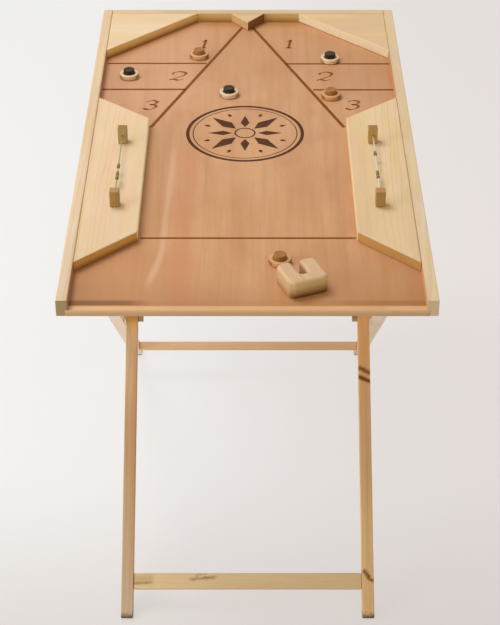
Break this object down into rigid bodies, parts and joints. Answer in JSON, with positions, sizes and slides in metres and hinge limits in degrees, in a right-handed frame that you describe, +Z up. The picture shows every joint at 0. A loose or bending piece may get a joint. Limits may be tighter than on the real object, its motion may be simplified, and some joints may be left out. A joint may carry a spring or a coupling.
{
  "type": "magnetic shuffleboard game",
  "caption": "Framed wooden tray game table with angled bumper boards, sliding score beads, magnetic pucks and a hand shooter, on a scissor stand that folds flat.",
  "frame": {"origin": "on the floor under the middle of the tray", "axes": "+X to the right of the player, +Y from the player's end to the far end, +Z up"},
  "size_m": [0.61, 1.114, 0.7523],
  "materials": {
    "pale_wood": "clear satin lacquer",
    "leg_wood": "clear satin lacquer",
    "plywood": "red-brown veneer, lacquered",
    "tan_wood": "tan stained, satin",
    "steel": "bright drawn steel",
    "dark_steel": "blackened",
    "bead": "dark stained, lacquered",
    "black_core": "black, satin",
    "brown_core": "brown, satin",
    "clip": "moulded, matte"
  },
  "bodies": {
    "tray": {"play_panel": "plywood", "left_rail": "pale_wood", "right_rail": "pale_wood", "back_rail": "pale_wood", "front_rail": "pale_wood", "left_corner_board": "pale_wood", "right_corner_board": "pale_wood", "centre_wedge": "pale_wood", "left_side_block": "pale_wood", "right_side_block": "pale_wood", "left_score_post_back": "pale_wood", "left_score_post_front": "pale_wood", "right_score_post_back": "pale_wood", "right_score_post_front": "pale_wood", "left_score_rod": "steel", "right_score_rod": "steel", "hinge_block_left": "leg_wood", "hinge_block_right": "leg_wood", "hinge_screw_left": "steel", "hinge_screw_right": "steel", "clip_pad_left": "leg_wood", "clip_pad_right": "leg_wood", "bar_clip_left": "clip", "bar_clip_right": "clip"},
    "outer_frame": {"outer_leg_left": "leg_wood", "outer_leg_right": "leg_wood", "outer_stretcher": "leg_wood", "pivot_bolt_left": "steel", "pivot_bolt_right": "steel", "pivot_washer_left": "steel", "pivot_washer_right": "steel", "pivot_nut_left": "dark_steel", "pivot_nut_right": "dark_steel"},
    "inner_frame": {"inner_leg_left": "leg_wood", "inner_leg_right": "leg_wood", "inner_stretcher": "leg_wood", "inner_top_bar": "leg_wood"},
    "shooter": {"shooter_block": "pale_wood", "shooter_magnet": "black_core"},
    "left_bead_1": {"left_score_bead_1": "bead"},
    "left_bead_2": {"left_score_bead_2": "bead"},
    "left_bead_3": {"left_score_bead_3": "bead"},
    "right_bead_1": {"right_score_bead_1": "bead"},
    "right_bead_2": {"right_score_bead_2": "bead"},
    "right_bead_3": {"right_score_bead_3": "bead"},
    "dark_puck_1": {"dark_puck_ring_1": "pale_wood", "dark_puck_core_1": "black_core"},
    "dark_puck_2": {"dark_puck_ring_2": "pale_wood", "dark_puck_core_2": "black_core"},
    "dark_puck_3": {"dark_puck_ring_3": "pale_wood", "dark_puck_core_3": "black_core"},
    "brown_puck_1": {"brown_puck_ring_1": "tan_wood", "brown_puck_core_1": "brown_core"},
    "brown_puck_2": {"brown_puck_ring_2": "tan_wood", "brown_puck_core_2": "brown_core"},
    "brown_puck_3": {"brown_puck_ring_3": "tan_wood", "brown_puck_core_3": "brown_core"}
  },
  "joints": [
    {"name": "outer_fold", "type": "hinge", "parent": "tray", "child": "outer_frame", "pos_m": [0, -0.422, 0.663], "axis": [1, 0, 0], "range_deg": [0, 41.6], "deforming": ["bar_clip_left", "bar_clip_right"]},
    {"name": "inner_fold", "type": "hinge", "parent": "outer_frame", "child": "inner_frame", "pos_m": [0, -0.09895, 0.37618], "axis": [1, 0, 0], "range_deg": [-83.2, 0]},
    {"name": "left_bead_1_slide", "type": "slide", "parent": "tray", "child": "left_bead_1", "axis": [0, 1, 0], "range_m": [0, 0.106]},
    {"name": "left_bead_2_slide", "type": "slide", "parent": "tray", "child": "left_bead_2", "axis": [0, 1, 0], "range_m": [0, 0.017]},
    {"name": "left_bead_3_slide", "type": "slide", "parent": "tray", "child": "left_bead_3", "axis": [0, 1, 0], "range_m": [-0.052, 0]},
    {"name": "right_bead_1_slide", "type": "slide", "parent": "tray", "child": "right_bead_1", "axis": [0, 1, 0], "range_m": [0, 0.0605]},
    {"name": "right_bead_2_slide", "type": "slide", "parent": "tray", "child": "right_bead_2", "axis": [0, 1, 0], "range_m": [0, 0.059]},
    {"name": "right_bead_3_slide", "type": "slide", "parent": "tray", "child": "right_bead_3", "axis": [0, 1, 0], "range_m": [-0.0555, 0]},
    {"name": "dark_puck_1_slide", "type": "slide", "parent": "tray", "child": "dark_puck_1", "axis": [0, 1, 0], "range_m": [-0.14, 0.1]},
    {"name": "dark_puck_2_slide", "type": "slide", "parent": "tray", "child": "dark_puck_2", "axis": [0, 1, 0], "range_m": [-0.7, 0.29]},
    {"name": "dark_puck_3_slide", "type": "slide", "parent": "tray", "child": "dark_puck_3", "axis": [0, 1, 0], "range_m": [-0.04, 0.09]},
    {"name": "brown_puck_1_slide", "type": "slide", "parent": "tray", "child": "brown_puck_1", "axis": [0, 1, 0], "range_m": [-0.8, 0.14]},
    {"name": "brown_puck_2_slide", "type": "slide", "parent": "tray", "child": "brown_puck_2", "axis": [0, 1, 0], "range_m": [-0.66, 0.07]},
    {"name": "brown_puck_3_slide", "type": "slide", "parent": "tray", "child": "brown_puck_3", "axis": [0, 1, 0], "range_m": [0, 0.9]},
    {"name": "shooter_slide", "type": "slide", "parent": "tray", "child": "shooter", "axis": [-0.3827, 0.9239, 0], "range_m": [-0.015, 0.024]}
  ],
  "couplings": [
    {"joint": "inner_fold", "follows": "outer_fold", "ratio": -2}
  ]
}
